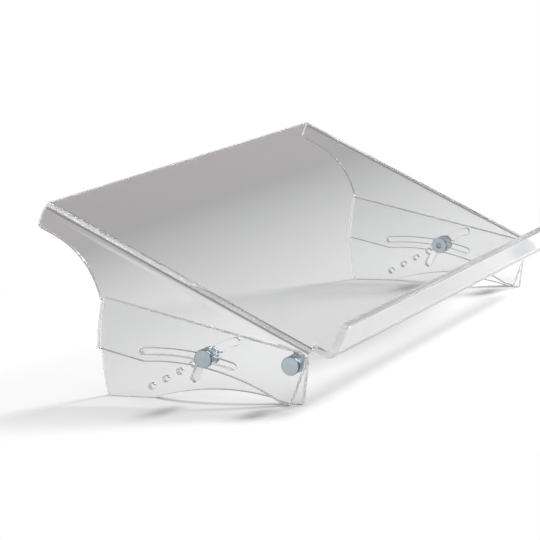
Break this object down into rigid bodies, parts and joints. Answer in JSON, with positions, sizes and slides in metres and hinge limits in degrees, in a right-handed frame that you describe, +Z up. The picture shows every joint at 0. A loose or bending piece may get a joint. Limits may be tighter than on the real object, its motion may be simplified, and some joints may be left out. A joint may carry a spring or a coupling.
{
  "type": "document holder",
  "caption": "Clear acrylic desk stand: a sloping plate with side wings and a front ledge, tilting on side legs and held by round clamp bolts in curved slots.",
  "frame": {"origin": "centre of the bounding box at rest, on the desk surface that the legs stand on", "axes": "+X along the width to the right as seen by the reader, +Y away from the reader towards the raised rear edge, +Z up"},
  "size_m": [0.5202, 0.2635, 0.1594],
  "materials": {
    "clear_acrylic": "clear cast acrylic sheet, polished faces and edges",
    "plated_steel": "blue-grey zinc-plated steel, satin"
  },
  "bodies": {
    "left_leg": {"left_leg": "clear_acrylic"},
    "tray": {"tray": "clear_acrylic", "left_pivot_bolt": "plated_steel", "right_pivot_bolt": "plated_steel"},
    "right_leg": {"right_leg": "clear_acrylic"},
    "left_clamp": {"left_clamp_bolt": "plated_steel"},
    "right_clamp": {"right_clamp_bolt": "plated_steel"},
    "left_pivot_nut": {"left_pivot_nut": "plated_steel"},
    "right_pivot_nut": {"right_pivot_nut": "plated_steel"},
    "left_clamp_nut": {"left_clamp_nut": "plated_steel"},
    "right_clamp_nut": {"right_clamp_nut": "plated_steel"}
  },
  "joints": [
    {"name": "tray_tilt", "type": "hinge", "parent": "left_leg", "child": "tray", "pos_m": [0, -0.0893, 0.033], "axis": [1, 0, 0], "range_deg": [-13.05, 21.5]},
    {"name": "right_leg_turn", "type": "hinge", "parent": "tray", "child": "right_leg", "pos_m": [0, -0.0893, 0.033], "axis": [1, 0, 0], "range_deg": [-21.6, 13.1]},
    {"name": "left_clamp_travel", "type": "hinge", "parent": "tray", "child": "left_clamp", "pos_m": [0, 0.02754, -0.17144], "axis": [1, 0, 0], "range_deg": [-4.1, 6.75]},
    {"name": "right_clamp_travel", "type": "hinge", "parent": "tray", "child": "right_clamp", "pos_m": [0, 0.02754, -0.17144], "axis": [1, 0, 0], "range_deg": [-4.1, 6.75]},
    {"name": "left_pivot_nut_spin", "type": "hinge", "parent": "tray", "child": "left_pivot_nut", "pos_m": [-0.2429, -0.0893, 0.033], "axis": [1, 0, 0], "continuous": true},
    {"name": "right_pivot_nut_spin", "type": "hinge", "parent": "tray", "child": "right_pivot_nut", "pos_m": [0.2429, -0.0893, 0.033], "axis": [1, 0, 0], "continuous": true},
    {"name": "left_clamp_nut_spin", "type": "hinge", "parent": "left_clamp", "child": "left_clamp_nut", "pos_m": [-0.2429, -0.01297, 0.03597], "axis": [1, 0, 0], "continuous": true},
    {"name": "right_clamp_nut_spin", "type": "hinge", "parent": "right_clamp", "child": "right_clamp_nut", "pos_m": [0.2429, -0.01297, 0.03597], "axis": [1, 0, 0], "continuous": true}
  ],
  "couplings": [
    {"joint": "right_leg_turn", "follows": "tray_tilt", "ratio": -1},
    {"joint": "left_clamp_travel", "follows": "tray_tilt", "ratio": 0.31284},
    {"joint": "right_clamp_travel", "follows": "tray_tilt", "ratio": 0.31284}
  ]
}
